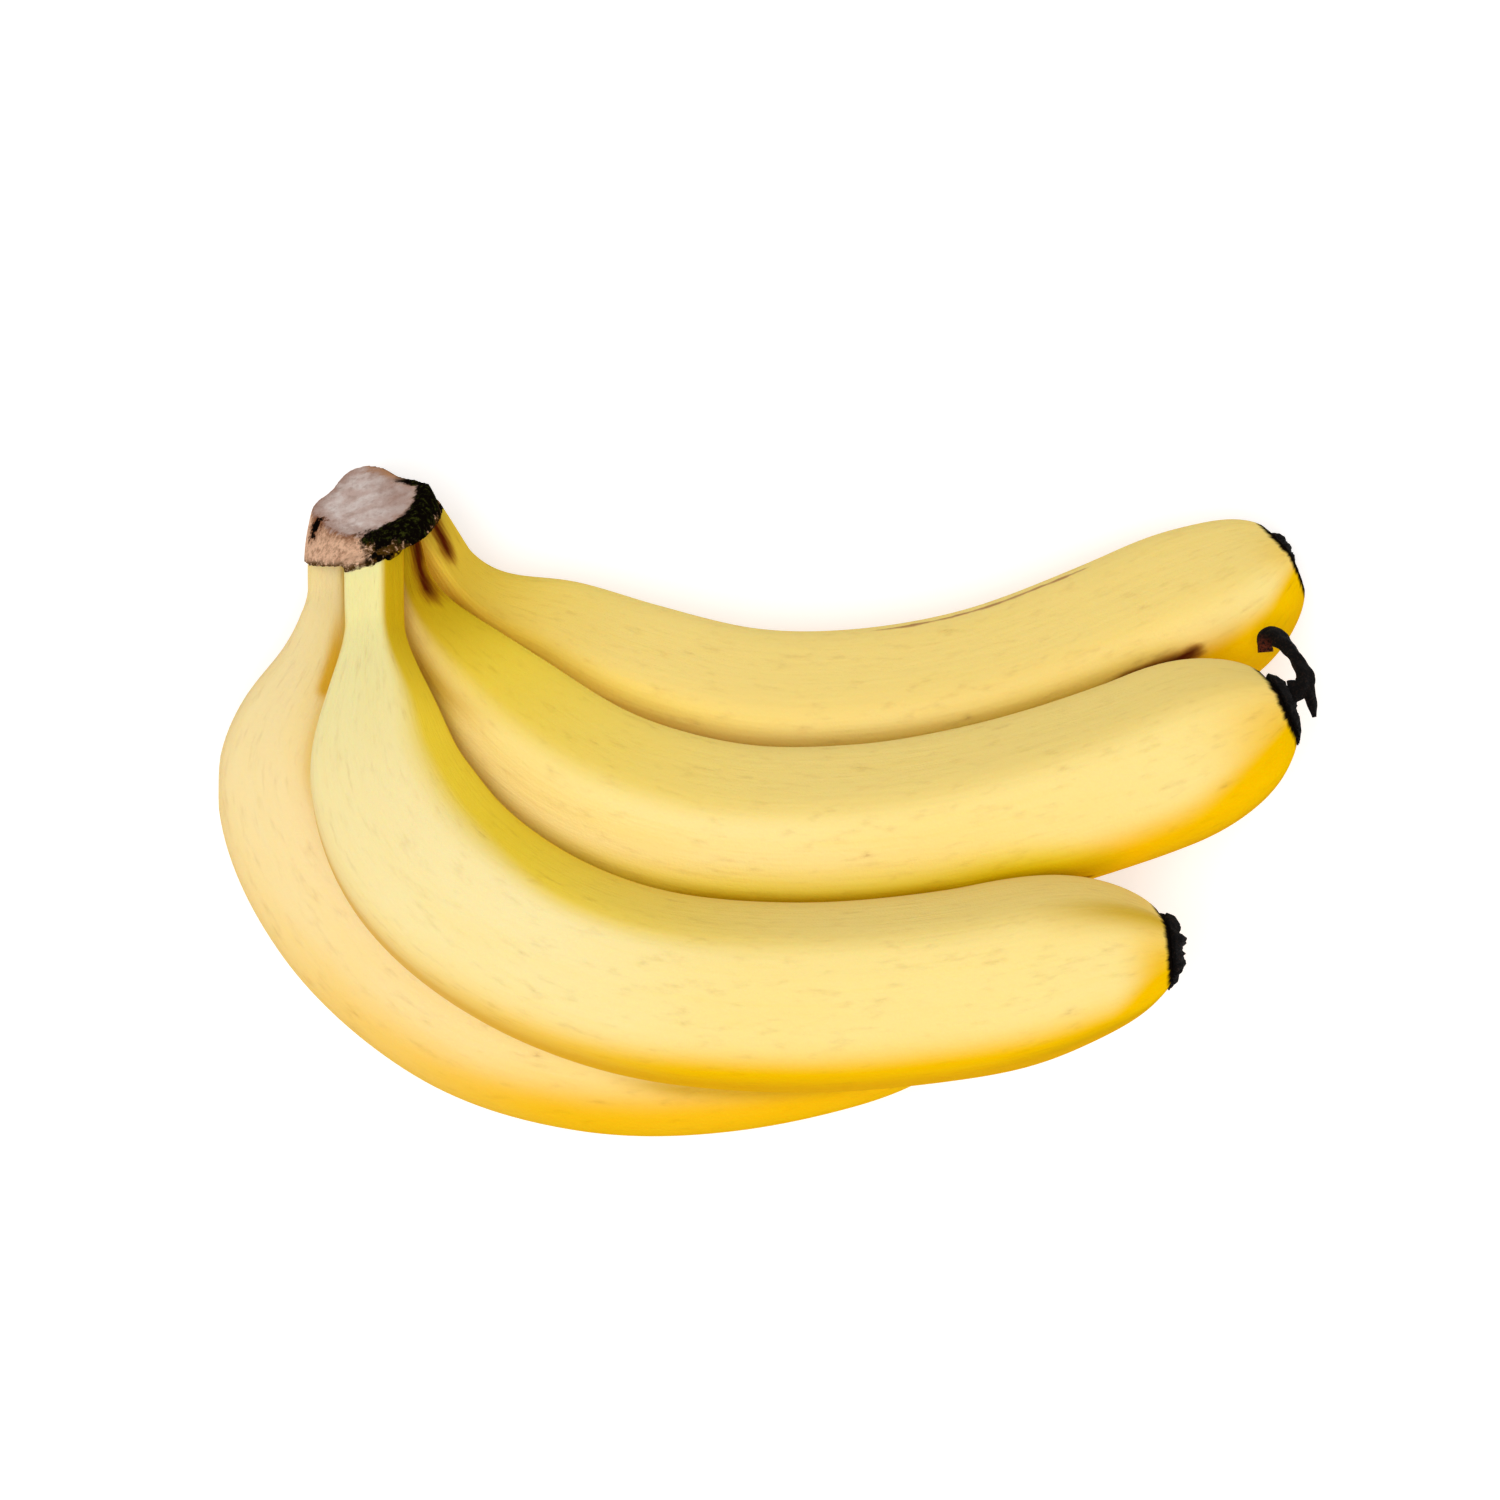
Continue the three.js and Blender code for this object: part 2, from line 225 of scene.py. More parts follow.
def place_camera():
    camera = bpy.data.objects.new("camera", bpy.data.cameras.new("camera"))
    camera.data.lens = LENS
    camera.data.clip_start = NEAREST_SEEN
    back = np.array([0, -math.cos(ELEVATION), math.sin(ELEVATION)])
    target = to_frame(LOOK_AT)
    aim(camera, target + back * CAMERA_DISTANCE * MM, target)
    bpy.context.scene.camera = camera


def place_softbox(name, direction, power):
    """A square soft light, in a direction from the bunch."""
    lamp = bpy.data.objects.new(name, bpy.data.lights.new(name, "AREA"))
    lamp.data.shape = "SQUARE"
    lamp.data.size = SOFTBOX_SIZE
    lamp.data.energy = power
    target = to_frame(LOOK_AT)
    aim(lamp, target + unit(np.array(direction, float)) * SOFTBOX_DISTANCE, target)


def light_studio():
    """White air all round, a soft key overhead and a weaker fill from the tips' side."""
    scene = bpy.context.scene
    scene.view_settings.view_transform = "Standard"
    scene.world = bpy.data.worlds.new("studio")
    scene.world.use_nodes = True
    air = scene.world.node_tree.nodes["Background"]
    air.inputs["Color"].default_value = (1, 1, 1, 1)
    air.inputs["Strength"].default_value = AIR_GLOW
    place_softbox("key", (-0.1, -0.3, 1), power=32)
    place_softbox("fill", (1, -0.2, 0.5), power=7)


# ---- Finishes: a little language for node trees -------------------------------------------


def paint(red, green, blue):
    """A colour given as 0 to 255 on a screen, as the linear colour a shader takes."""
    share = np.array([red, green, blue]) / 255
    linear = np.where(share > 0.04045, ((share + 0.055) / 1.055) ** 2.4, share / 12.92)
    return (*linear.tolist(), 1)


class Shade:
    """A socket of a finish. Arithmetic on it adds Math nodes."""

    def __init__(self, finish, socket):
        self.finish = finish
        self.socket = socket

    def maths(self, operation, *values):
        return self.finish.node("ShaderNodeMath", {"operation": operation}, dict(enumerate(values)))

    def __add__(self, other):
        return self.maths("ADD", self, other)

    def __radd__(self, other):
        return self.maths("ADD", other, self)

    def __sub__(self, other):
        return self.maths("SUBTRACT", self, other)

    def __rsub__(self, other):
        return self.maths("SUBTRACT", other, self)

    def __mul__(self, other):
        return self.maths("MULTIPLY", self, other)

    def __rmul__(self, other):
        return self.maths("MULTIPLY", other, self)

    def rise(self, low, high):
        """0 up to low, 1 from high, smooth between. It falls instead where high is lower."""
        settings = {"interpolation_type": "SMOOTHSTEP"}
        if high < low:
            return 1 - self.rise(high, low)
        sockets = {"Value": self, "From Min": low, "From Max": high}
        return self.finish.node("ShaderNodeMapRange", settings, sockets)


class Finish:
    """A material in the making: its node tree, with one method that adds any node."""

    def __init__(self, name):
        self.material = bpy.data.materials.new(name)
        self.material.use_nodes = True
        self.tree = self.material.node_tree
        self.tree.nodes.clear()

    def node(self, kind, settings, sockets, output=0):
        made = self.tree.nodes.new(kind)
        for name, value in settings.items():
            setattr(made, name, value)
        for key, value in sockets.items():
            if isinstance(value, Shade):
                self.tree.links.new(value.socket, made.inputs[key])
            else:
                made.inputs[key].default_value = value
        return Shade(self, made.outputs[output]) if made.outputs else None

    def trait(self, name, output="Fac"):
        """A value that the mesh carries at each of its points."""
        return self.node("ShaderNodeAttribute", {"attribute_name": name}, {}, output)

    def stretch(self, vector, scale):
        settings = {"operation": "MULTIPLY"}
        return self.node("ShaderNodeVectorMath", settings, {0: vector, 1: scale})

    def cloud(self, vector, scale, detail=3, rough=0.5):
        """Noise between 0 and 1 round a half."""
        sockets = {"Vector": vector, "Scale": scale, "Detail": detail, "Roughness": rough}
        return self.node("ShaderNodeTexNoise", {}, sockets)

    def blend(self, mask, under, over):
        """The colour over laid on the colour under, as thickly as the mask says."""
        settings = {"data_type": "RGBA", "clamp_factor": True}
        return self.node("ShaderNodeMix", settings, {0: mask, 6: under, 7: over}, 2)

    def relief(self, height, distance):
        """A fine relief, in metres, as a normal."""
        sockets = {"Height": height, "Distance": distance, "Strength": 1}
        return self.node("ShaderNodeBump", {}, sockets)

    def cover(self, sockets):
        """Ends the finish with its surface."""
        surface = self.node("ShaderNodeBsdfPrincipled", {}, sockets)
        self.node("ShaderNodeOutputMaterial", {}, {"Surface": surface})


# ---- Finishes of the bunch ----------------------------------------------------------------

CREAM = paint(247, 229, 166)
PEACH = paint(253, 227, 168)
RIPE_CREAM = paint(250, 223, 138)
# painted shade: the deep gold of the side and the tip turned away from the light
GOLD_SHADE = paint(242, 188, 0)
# painted shade of the side within the bend, turned away from the light: OLIVE and TAN, and
# NECK_OLIVE, which deepens it near the necks over their greener skin. OLIVE also tints the fibres
OLIVE = paint(243, 210, 58)
NECK_OLIVE = paint(198, 160, 4)
TAN = paint(248, 219, 130)
NECK_GREEN = paint(250, 238, 166)
NECK_YELLOW = paint(255, 222, 84)
# painted shade in the slits beside the necks of fingers 1 and 2
AMBER_SHADE = paint(224, 172, 10)
# painted shade in the crevices between the fingers
CREVICE_SHADE = paint(230, 204, 0)
# painted shade: shadows of fingers on their neighbours, dark slits and finger 2's tip edges
PAINTED_SHADE_OLIVE = paint(204, 162, 2)
# painted shade on the underside of each finger
UNDERSIDE_SHADE = paint(208, 146, 18)
FRECKLE = paint(170, 124, 60)
SCUFF = paint(160, 100, 74)
RUST = paint(146, 84, 12)
# real bruises, and the dark of two slits between fingers, painted shade
BRUISE_AND_SLIT_SHADE = paint(84, 26, 6)
BLACKENED = paint(14, 9, 6)
SHEEN = 0  # any sheen mirrors the white studio at the fingers' edges and washes out their gold


def peel_colour(finish):
    """Cream faces, an olive side within the bend, gold outside it, and the marks over them. The
    pale cream of the faces, which turn to the light, is painted light; the olive and tan within the
    bend, the gold outside it and at the tip, and the dark of the crevices, the slits and the
    underside are painted shade.
    """
    down = finish.trait("down")
    olive = finish.trait("olive")
    grain = finish.trait("grain", "Vector")
    patches = finish.cloud(finish.stretch(grain, (1, 1, 0.4)), 0.06)
    fibres = finish.cloud(finish.stretch(grain, (1, 1, 0.05)), 0.7, 4)
    blotches = finish.cloud(finish.stretch(grain, (1, 1, 0.35)), 0.55, 4)

    # painted light: the faces, which turn to the light, are a pale cream
    face = finish.blend(finish.trait("blush") * 0.8, CREAM, PEACH)
    face = finish.blend(down.rise(80, 150) * 0.85, face, RIPE_CREAM)
    face = finish.blend(patches.rise(0.4, 0.7) * 0.3, face, RIPE_CREAM)
    face = finish.blend(finish.trait("green") * down.rise(65, 10), face, NECK_GREEN)
    face = finish.blend(finish.trait("deep") * down.rise(140, 25), face, NECK_YELLOW)
    # painted shade: the side within the bend is olive and tan, deeper olive near the necks, where
    # it is partly their greener skin
    shade = finish.blend(olive, TAN, OLIVE)
    shade = finish.blend(olive * down.rise(45, 14) * 0.85, shade, NECK_OLIVE)
    colour = finish.blend(finish.trait("inner"), face, shade)
    # painted shade: the side and the tip turned away from the light go gold
    gold = finish.trait("gold") * 1.15 + patches * 0.25 - 0.12
    colour = finish.blend(gold.rise(-0.05, 1.05), colour, GOLD_SHADE)

    # painted shade: the skin darkens to olive in the crevices between the fingers
    colour = finish.blend(finish.trait("crevice_shading"), colour, CREVICE_SHADE)
    # painted shade: shadows cast by necks and fingers on their neighbours, and dark slits
    colour = finish.blend(finish.trait("painted_shade") * 0.8, colour, PAINTED_SHADE_OLIVE)
    # painted shade on each finger's underside
    colour = finish.blend(finish.trait("under") * 0.7, colour, UNDERSIDE_SHADE)
    colour = finish.blend(fibres.rise(0.5, 0.75) * 0.06, colour, OLIVE)
    freckles = blotches.rise(0.72, 0.8) * patches.rise(0.38, 0.62)
    colour = finish.blend(freckles * 0.22, colour, FRECKLE)
    # painted shade in the slits between fingers 1 and 2
    colour = finish.blend(finish.trait("amber_shade").rise(0, 0.9) * 0.9, colour, AMBER_SHADE)
    scuffed = finish.trait("scuff") + blotches - 0.5
    colour = finish.blend(scuffed.rise(0.5, 0.9) * 0.75, colour, SCUFF)
    # real bruises near the necks, and two dark slits between fingers, painted shade
    bruise_and_shade = finish.trait("bruise_and_slit_shade") + (blotches - 0.5) * 0.7
    colour = finish.blend(bruise_and_shade.rise(0, 0.6) * 0.75, colour, RUST)
    colour = finish.blend(bruise_and_shade.rise(0.4, 1.05), colour, BRUISE_AND_SLIT_SHADE)
    dead_tip = finish.trait("tip") + (blotches - 0.5) * 2
    return finish.blend(dead_tip.rise(2.3, 1), colour, BLACKENED)


def peel_relief(finish):
    grain = finish.trait("grain", "Vector")
    fibres = finish.cloud(finish.stretch(grain, (1, 1, 0.06)), 0.8, 4)
    pores = finish.cloud(grain, 1.6, 2)
    return finish.relief(fibres * 0.7 + pores * 0.3, 0.0003)


def peel_finish():
    finish = Finish("ripe_peel")
    finish.cover({
        "Base Color": peel_colour(finish), "Roughness": 0.5, "Normal": peel_relief(finish),
        "Specular IOR Level": SHEEN,
        "Subsurface Weight": 0.2, "Subsurface Radius": (1, 0.5, 0.15), "Subsurface Scale": 0.004,
    })
    return finish


CORK = paint(226, 196, 184)
CORK_PALE = paint(252, 236, 228)
CORK_BROWN = paint(178, 136, 118)
CORK_ORANGE = paint(206, 144, 88)
RIM_BROWN = paint(150, 92, 56)
SALMON = paint(255, 206, 170)
SALMON_BROWN = paint(170, 118, 88)
BLOTCH = paint(84, 56, 14)
SOOTY_GREEN = paint(58, 62, 20)


class CrownSkin:
    """Where a point of the crown is, in millimetres, and the noises that fray its borders."""

    def __init__(self, finish):
        place = finish.trait("place", "Vector")
        upright = finish.stretch(place, (1, 1, 0.35))
        self.above = finish.trait("above")  # above the underside, where the necks begin
        self.past = finish.trait("past_rim")  # down the side from the rim of the cut
        self.across = finish.trait("across")  # towards finger 4
        self.height = finish.trait("height")
        self.to_spot = finish.trait("to_spot")
        self.ragged = finish.cloud(place, 0.45, 5, 0.7) - 0.5
        self.fine = finish.cloud(place, 0.9, 5, 0.7)
        self.clouds = finish.cloud(upright, 0.24, 4, 0.6)
        self.specks = finish.cloud(upright, 0.42, 4, 0.55)


def cut_face(finish, skin):
    """Greyish pink cork, browner towards its rim and towards finger 4."""
    edge = (skin.past + skin.ragged * 6).rise(-4.5, -0.5)
    to_side = (skin.across + skin.ragged * 6).rise(0, 7)
    face = finish.blend(skin.clouds.rise(0.35, 0.65), CORK, CORK_PALE)
    face = finish.blend(skin.specks.rise(0.48, 0.68) * 0.45, face, CORK_BROWN)
    face = finish.blend(edge * 0.6, face, CORK_BROWN)
    face = finish.blend(to_side * 0.5, face, CORK_BROWN)
    return finish.blend(edge * to_side * 0.7, face, CORK_ORANGE)


def cork_skin(finish, skin):
    """The cut face, the salmon wall round it and the brown rim between them."""
    wall = finish.blend(skin.fine.rise(0.42, 0.68) * 0.75, SALMON, SALMON_BROWN)
    colour = finish.blend((skin.past + skin.ragged * 2).rise(0, 0.6), cut_face(finish, skin), wall)
    to_rim = skin.past + skin.ragged * 1.5
    rim = to_rim.rise(-0.8, 0) * to_rim.rise(1.3, 0.4)
    return finish.blend(rim * skin.fine.rise(0.3, 0.6) * 0.8, colour, RIM_BROWN)


def blackened_side(finish, skin, colour):
    """The side towards finger 4: blotches over the necks, and a black band along the rim."""
    to_side = (skin.across + skin.ragged * 6).rise(-4.5, -2.5)
    over_necks = (skin.above + skin.ragged * 8).rise(-3.5, -1)
    low = over_necks * (skin.past + skin.ragged * 4).rise(-0.5, 1) * to_side
    colour = finish.blend(low * skin.fine.rise(0.3, 0.5), colour, BLOTCH)
    colour = finish.blend(low * skin.specks.rise(0.5, 0.56), colour, BLACKENED)

    upper = (skin.past + (skin.across + 4) * 0.35 + skin.ragged * 5).rise(-0.4, 0.6)
    lower = (1.4 + (skin.across + 4) * 0.24 + skin.ragged * 6 - skin.past).rise(0, 1.4)
    near_side = (skin.height + skin.ragged * 4).rise(-8, -4)
    off_face = (skin.past + skin.ragged * 3).rise(-3.4, -2.4)
    band = to_side * near_side * upper * lower * off_face
    colour = finish.blend(band, colour, BLACKENED)
    return finish.blend(band * skin.fine.rise(0.52, 0.64) * 0.8, colour, SOOTY_GREEN)


def dead_spot(finish, skin, colour):
    """A black spot with a brown border on the rim of the cut."""
    to_spot = skin.to_spot + skin.ragged * 6 + skin.fine * 5 - 2.5
    colour = finish.blend(to_spot.rise(3.8, 2.4) * 0.8, colour, RIM_BROWN)
    return finish.blend(to_spot.rise(2.7, 2), colour, BLACKENED)


def crown_finish():
    """Peel up the necks, a dark hem where it ends, and cork from there."""
    finish = Finish("cut_crown")
    skin = CrownSkin(finish)
    above = skin.above + skin.ragged * 3
    cork = above.rise(-0.6, 0.2)
    hem = cork * above.rise(1.5, 0.3)
    colour = finish.blend(cork, peel_colour(finish), cork_skin(finish, skin))
    colour = finish.blend(hem * skin.fine.rise(0.38, 0.52), colour, BLOTCH)
    colour = blackened_side(finish, skin, colour)
    colour = dead_spot(finish, skin, colour)
    finish.cover({
        "Base Color": colour, "Roughness": 0.5 + cork * 0.35, "Specular IOR Level": SHEEN,
        "Normal": finish.relief((skin.fine + skin.clouds) * cork, 0.0012),
    })
    return finish


CHAR = paint(12, 9, 8)
CHAR_BROWN = paint(58, 40, 30)
CHAR_RED = paint(120, 52, 30)


def dried_finish():
    finish = Finish("dried_flower")
    place = finish.trait("place", "Vector")
    fine = finish.cloud(place, 1.6, 5, 0.7)
    char = finish.blend(fine.rise(0.5, 0.75), CHAR, CHAR_BROWN)
    char = finish.blend(finish.trait("faded") * fine.rise(0.35, 0.6) * 0.8, char, CHAR_RED)
    finish.cover({
        "Base Color": char, "Roughness": 0.8, "Specular IOR Level": 0.12,
        "Normal": finish.relief(fine, 0.0012),
    })
    return finish


def floor_finish():
    finish = Finish("pale_floor")
    finish.cover({
        "Base Color": paint(232, 232, 232), "Roughness": 0.9, "Specular IOR Level": 0.1,
        "Emission Color": (1, 1, 1, 1), "Emission Strength": FLOOR_GLOW,
    })
    return finish


# ---- Shapes -------------------------------------------------------------------------------


class Route:
    """A smooth curve through points, with places on it given by their distance along it."""

    FINE = 200  # samples between two points

    def __init__(self, points):
        inner = np.array(points, float)
        first, last = 2 * inner[0] - inner[1], 2 * inner[-1] - inner[-2]
        knots = np.vstack([first, inner, last])
        t = np.linspace(0, 1, self.FINE, endpoint=False)[:, None]
        spans = []
        for a, b, c, d in zip(knots, knots[1:], knots[2:], knots[3:]):
            cubic = -a + 3 * b - 3 * c + d
            square = 2 * a - 5 * b + 4 * c - d
            spans.append(b + (t * (c - a) + t**2 * square + t**3 * cubic) / 2)
        self.places = np.vstack(spans + [inner[-1:]])
        steps = np.linalg.norm(np.diff(self.places, axis=0), axis=1)
        self.distances = np.concatenate([[0], np.cumsum(steps)])
        self.length = self.distances[-1]

    def at(self, distance):
        return np.stack([np.interp(distance, self.distances, x) for x in self.places.T], -1)

    def directions(self, distance, look_ahead):
        """Unit vectors along the curve, towards the inside of its bend, and upwards."""
        low = np.clip(distance - look_ahead, 0, self.length)
        high = np.clip(distance + look_ahead, 0, self.length)
        along = unit(self.at(high) - self.at(low))
        inward = unit(np.cross([0, 0, 1], along))
        return along, inward, np.cross(along, inward)


def unit(vectors):
    return vectors / np.linalg.norm(vectors, axis=-1, keepdims=True)


def smooth(value, low, high):
    """0 up to low, 1 from high, smooth between."""
    t = np.clip((value - low) / (high - low), 0, 1)
    return t * t * (3 - 2 * t)


def turns(sides):
    """Angles once round, in even steps."""
    return 2 * np.pi * np.arange(sides) / sides


def spokes(angle, inward, up):
    """Unit vectors [ring, side] out of a tube's middle, at angles from inward towards up."""
    return np.cos(angle)[:, None] * inward[:, None] + np.sin(angle)[:, None] * up[:, None]


def tube_faces(rings, sides):
    """Faces of a tube of rings, whose two ends fan to the last two points."""
    faces = []
    for ring in range(rings - 1):
        for side in range(sides):
            a = ring * sides + side
            b = ring * sides + (side + 1) % sides
            faces.append((a, b, b + sides, a + sides))
    low, high = rings * sides, rings * sides + 1
    last = (rings - 1) * sides
    for side in range(sides):
        after = (side + 1) % sides
        faces.append((low, after, side))
        faces.append((high, last + side, last + after))
    return faces


def tube(grid):
    """A closed tube through a grid of points [ring, side], as its points and faces."""
    rings, sides = grid.shape[:2]
    ends = [grid[0].mean(0), grid[-1].mean(0)]
    return np.vstack([grid.reshape(-1, 3), ends]), tube_faces(rings, sides)


def with_ends(values):
    """Values on a tube's grid [ring, side], flat, with those of its two end points."""
    flat = values.reshape(-1, *values.shape[2:])
    return np.concatenate([flat, [values[0].mean(0), values[-1].mean(0)]])


def search_tree(places):
    """A tree that finds the nearest of some places."""
    tree = kdtree.KDTree(len(places))
    for index, place in enumerate(places):
        tree.insert(place, index)
    tree.balance()
    return tree


def together(shells):
    """Shells as one list of points and one of faces."""
    points, faces = [], []
    for shell_points, shell_faces in shells:
        start = sum(len(p) for p in points)
        points.append(shell_points)
        faces += [tuple(start + corner for corner in face) for face in shell_faces]
    return np.vstack(points), faces


def shown(name, points, faces, finish, traits, node):
    """Makes a piece that stands for a CAD node, from points on the routes' coordinates."""
    low, high = (np.array(corner) for corner in SOLID_BOX)
    mesh = bpy.data.meshes.new(name)
    mesh.from_pydata(np.clip(to_frame(points), low, high).tolist(), [], faces)
    for trait, values in traits.items():
        kind, field = ("FLOAT_VECTOR", "vector") if values.ndim == 2 else ("FLOAT", "value")
        values = np.ascontiguousarray(values, np.float32).ravel()
        mesh.attributes.new(trait, kind, "POINT").data.foreach_set(field, values)
    mesh.shade_smooth()
    mesh.materials.append(finish.material)
    piece = bpy.data.objects.new(name, mesh)
    bpy.context.scene.collection.objects.link(piece)
    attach(piece, "root")
    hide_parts(node)


# ---- Crown --------------------------------------------------------------------------------

CROWN_HEADING = math.radians(CROWN["heading"])
CROWN_AXIS = np.array([math.cos(CROWN_HEADING), math.sin(CROWN_HEADING), 0])
CROWN_ACROSS = np.array([math.sin(CROWN_HEADING), -math.cos(CROWN_HEADING), 0])
UP = np.array([0, 0, 1])


def crown_plane(which):
    """The normal of one of the crown's slanted planes, and a point on it."""
    slant = math.radians(CROWN[which]["slant"])
    normal = CROWN_AXIS * math.cos(slant) + UP * math.sin(slant)
    return normal, CROWN["centre"] + CROWN_AXIS * CROWN[which]["offset"]


def crown_outline(angle, end):
    """How far the crown's underside or its cut reaches at an angle, 1 on a plain oval."""
    reach = 1 + CROWN["bulge"] * (np.sin(3 * angle + 2.6) + np.sin(5 * angle + 2))
    for where, width, depth in CROWN[end]["corners"]:
        reach = reach - depth * np.exp(-(((np.degrees(angle) - where) / width) ** 2))
    return CROWN[end]["size"] * reach


def past_rim(points):
    """Millimetres past the rim of the cut, down the crown's side. It is negative on the cut."""
    normal, place = crown_plane("cut")
    below = (place - points) @ normal
    offset = points - CROWN["centre"]
    y = offset @ UP / CROWN["half_height"]
    x = (offset @ CROWN_ACROSS - CROWN["cut"]["shift"] - CROWN["lean"] * y) / CROWN["half_width"]
    angle = np.arctan2(y, x)
    outline = crown_outline(np.where(angle > 0, angle - 2 * np.pi, angle), "cut")
    inside = (1 - np.hypot(x, y) / outline) * CROWN["half_width"]
    return np.maximum(below, 0) - np.maximum(inside, 0)


def crown_slab(sides=120, levels=12):
    """The crown by itself: a slab that goes over from its underside's outline to the cut's."""
    level = np.linspace(0, 1, levels)[:, None]
    angle = -turns(sides)
    ends = CROWN["underside"], CROWN["cut"]
    offset, slant, shift = (
        ends[0][key] + (ends[1][key] - ends[0][key]) * level
        for key in ("offset", "slant", "shift")
    )
    low, high = crown_outline(angle, "underside"), crown_outline(angle, "cut")
    reach = low + (high - low) * level + CROWN["swell"] * np.sin(np.pi * level)
    x = reach * (CROWN["half_width"] * np.cos(angle) + CROWN["lean"] * np.sin(angle))
    y = reach * CROWN["half_height"] * np.sin(angle)
    away = offset - y * np.tan(np.radians(slant))
    grid = CROWN["centre"] + (
        (x + shift)[..., None] * CROWN_ACROSS + y[..., None] * UP + away[..., None] * CROWN_AXIS
    )
    return tube(grid)


# ---- Fingers ------------------------------------------------------------------------------


def girth(from_crown, from_tip, finger):
    """How thick a finger is, as a share of its full thickness."""
    past = np.maximum(0, from_crown - finger["neck"]) / FLARE_REACH
    widened = 1 - np.exp(-(past**FLARE_POWER))
    opened = 1 - (1 - np.minimum(1, from_tip / finger["tip"])) ** TIP_POWER
    neck = finger["neck_share"] + (1 - finger["neck_share"]) * widened
    return neck * (TIP_SHARE + (1 - TIP_SHARE) * np.maximum(0, opened) ** TIP_BLUNTNESS)


def facet_radius(past_ridge, sharpness):
    """1 at the middle of a flat face, a little more at a ridge."""
    total = 0
    for face in range(FACES):
        middle = math.pi / FACES * (2 * face + 1)
        total = total + np.maximum(0, np.cos(past_ridge - middle)) ** sharpness
    return total ** (-1 / sharpness)


def ridge_sharpness(from_crown, from_tip):
    at_neck = (RIDGES["neck"] - RIDGES["body"]) * np.exp(-from_crown / RIDGES["neck_reach"])
    at_tip = (RIDGES["tip"] - RIDGES["body"]) * np.exp(-from_tip / RIDGES["tip_reach"])
    return RIDGES["body"] + at_neck + at_tip


def ridge_angle(finger, share):
    """Where the main ridge is round a finger, which turns a little along its length."""
    return np.radians(finger["ridge"] + finger["twist"] * share**2)


def around(finger, sides):
    """Angles once round a finger, from its main ridge at the crown."""
    return math.radians(finger["ridge"]) + turns(sides)


def finger_grid(finger, distance, angle, grow=0, into_crown=-JOINT_GAP):
    """Points of a finger's skin [ring, side], at distances along it and angles round it.

    grow moves each ring outwards. into_crown is how deep the first ring is in the crown.
    """
    route = Route(finger["route"])
    normal, point = crown_plane("underside")
    grow = np.broadcast_to(grow, distance.shape)

    def rings(d, grow):
        along, inward, up = route.directions(d, LOOK_AHEAD)
        from_tip = route.length - d
        radius = girth(d, from_tip, finger) * finger["thickness"] / THICKNESS_TO_FACE
        sharpness = ridge_sharpness(d, from_tip)
        past_ridge = angle - ridge_angle(finger, d / route.length)[:, None]
        reach = radius[:, None] * facet_radius(past_ridge, sharpness[:, None])
        reach = reach + grow[:, None]
        out = spokes(angle, inward, up)
        return route.at(d)[:, None] + reach[..., None] * out, along

    first, along = rings(np.zeros(1), grow[:1])
    slide = ((point - first[0]) @ normal + into_crown) / (along[0] @ normal)
    grid, along = rings(distance, grow)
    follow = np.maximum(0, 1 - distance / SLANT_REACH)
    grid = grid + (follow[:, None] * slide)[..., None] * along[:, None]
    grid[..., 2] = np.maximum(0, grid[..., 2])
    return grid


# Bands that the peel's colours, and the light and shade painted into them, come and go over. Turns
# are degrees past the main ridge, and downs are millimetres from the crown.
# the olive side within the bend is painted shade
SHADED_EDGE_TURNS = (-9, 8)  # from the olive side within the bend to the face over it
SOFT_EDGE_TURN = 18  # how much wider that edge is where a green neck opens into the body
SOFT_EDGE_DOWNS = (20, 40), (70, 100)
# the gold is painted shade, on the side and the tip turned away from the light
GOLD_EDGE_TURN = 36  # how wide the near edge of the gold is
GOLD_THINS_TURNS = (118, 150)  # to half
GOLD_FAR_TURNS = (-112, -84)  # its far edge, below the olive side
GOLD_DOWNS = (25, 160)
TIP_GOLD_TURNS = (-70, 20)  # past where the side's gold begins
TIP_ALL_GOLD = 2  # millimetres at the tip before its gold begins to fade
# the painted shade of the underside
UNDERSIDE_TURNS = (86, 134)  # either way from the lowest line of a finger
STAIN_NECK_DOWNS = (15, 60)  # where a neck opens, as a stain's width takes it
# where the crevices' painted shade begins and widens
CREVICE_BEGINS_DOWNS = (8, 24)
CREVICE_WIDENS_DOWNS = (60, 110)  # from half its reach to all of it
TOUCHING = 1  # millimetres between two fingers


def stain(kind, finger, down, past):
    """How strongly the long marks of a kind show at each point of a finger."""
    strength = np.zeros(down.shape)
    neck_radius = finger["thickness"] / 2 * finger["neck_share"]
    for mark in STAINS[kind]:
        if mark["finger"] != finger["name"]:
            continue
        (low, low_turn), (high, high_turn) = mark["from"], mark["to"]
        share = np.clip((down - low) / (high - low), 0, 1)
        aside = np.radians(past - low_turn - share * (high_turn - low_turn))
        opened = smooth(down, *STAIN_NECK_DOWNS)
        radius = neck_radius + (finger["thickness"] / 2 - neck_radius) * opened
        fade_in, fade_out = mark["fade"]
        ends = smooth(down, low, low + fade_in) * (1 - smooth(down, high - fade_out, high))
        strength = np.maximum(strength, ends * np.exp(-((aside * radius / mark["width"]) ** 2)))
    return strength


def crevice_shading(finger, points, others, down):
    """Painted shade in the crevices: 1 where another finger lies right against a finger's skin, 0
    from its crevice away.
    """
    tree = search_tree(others)
    gap = np.array([tree.find(place)[2] for place in points])
    reach = finger["crevice"] * (0.5 + 0.5 * smooth(down, *CREVICE_WIDENS_DOWNS))
    return (1 - smooth(gap, TOUCHING, reach)) * smooth(down, *CREVICE_BEGINS_DOWNS)


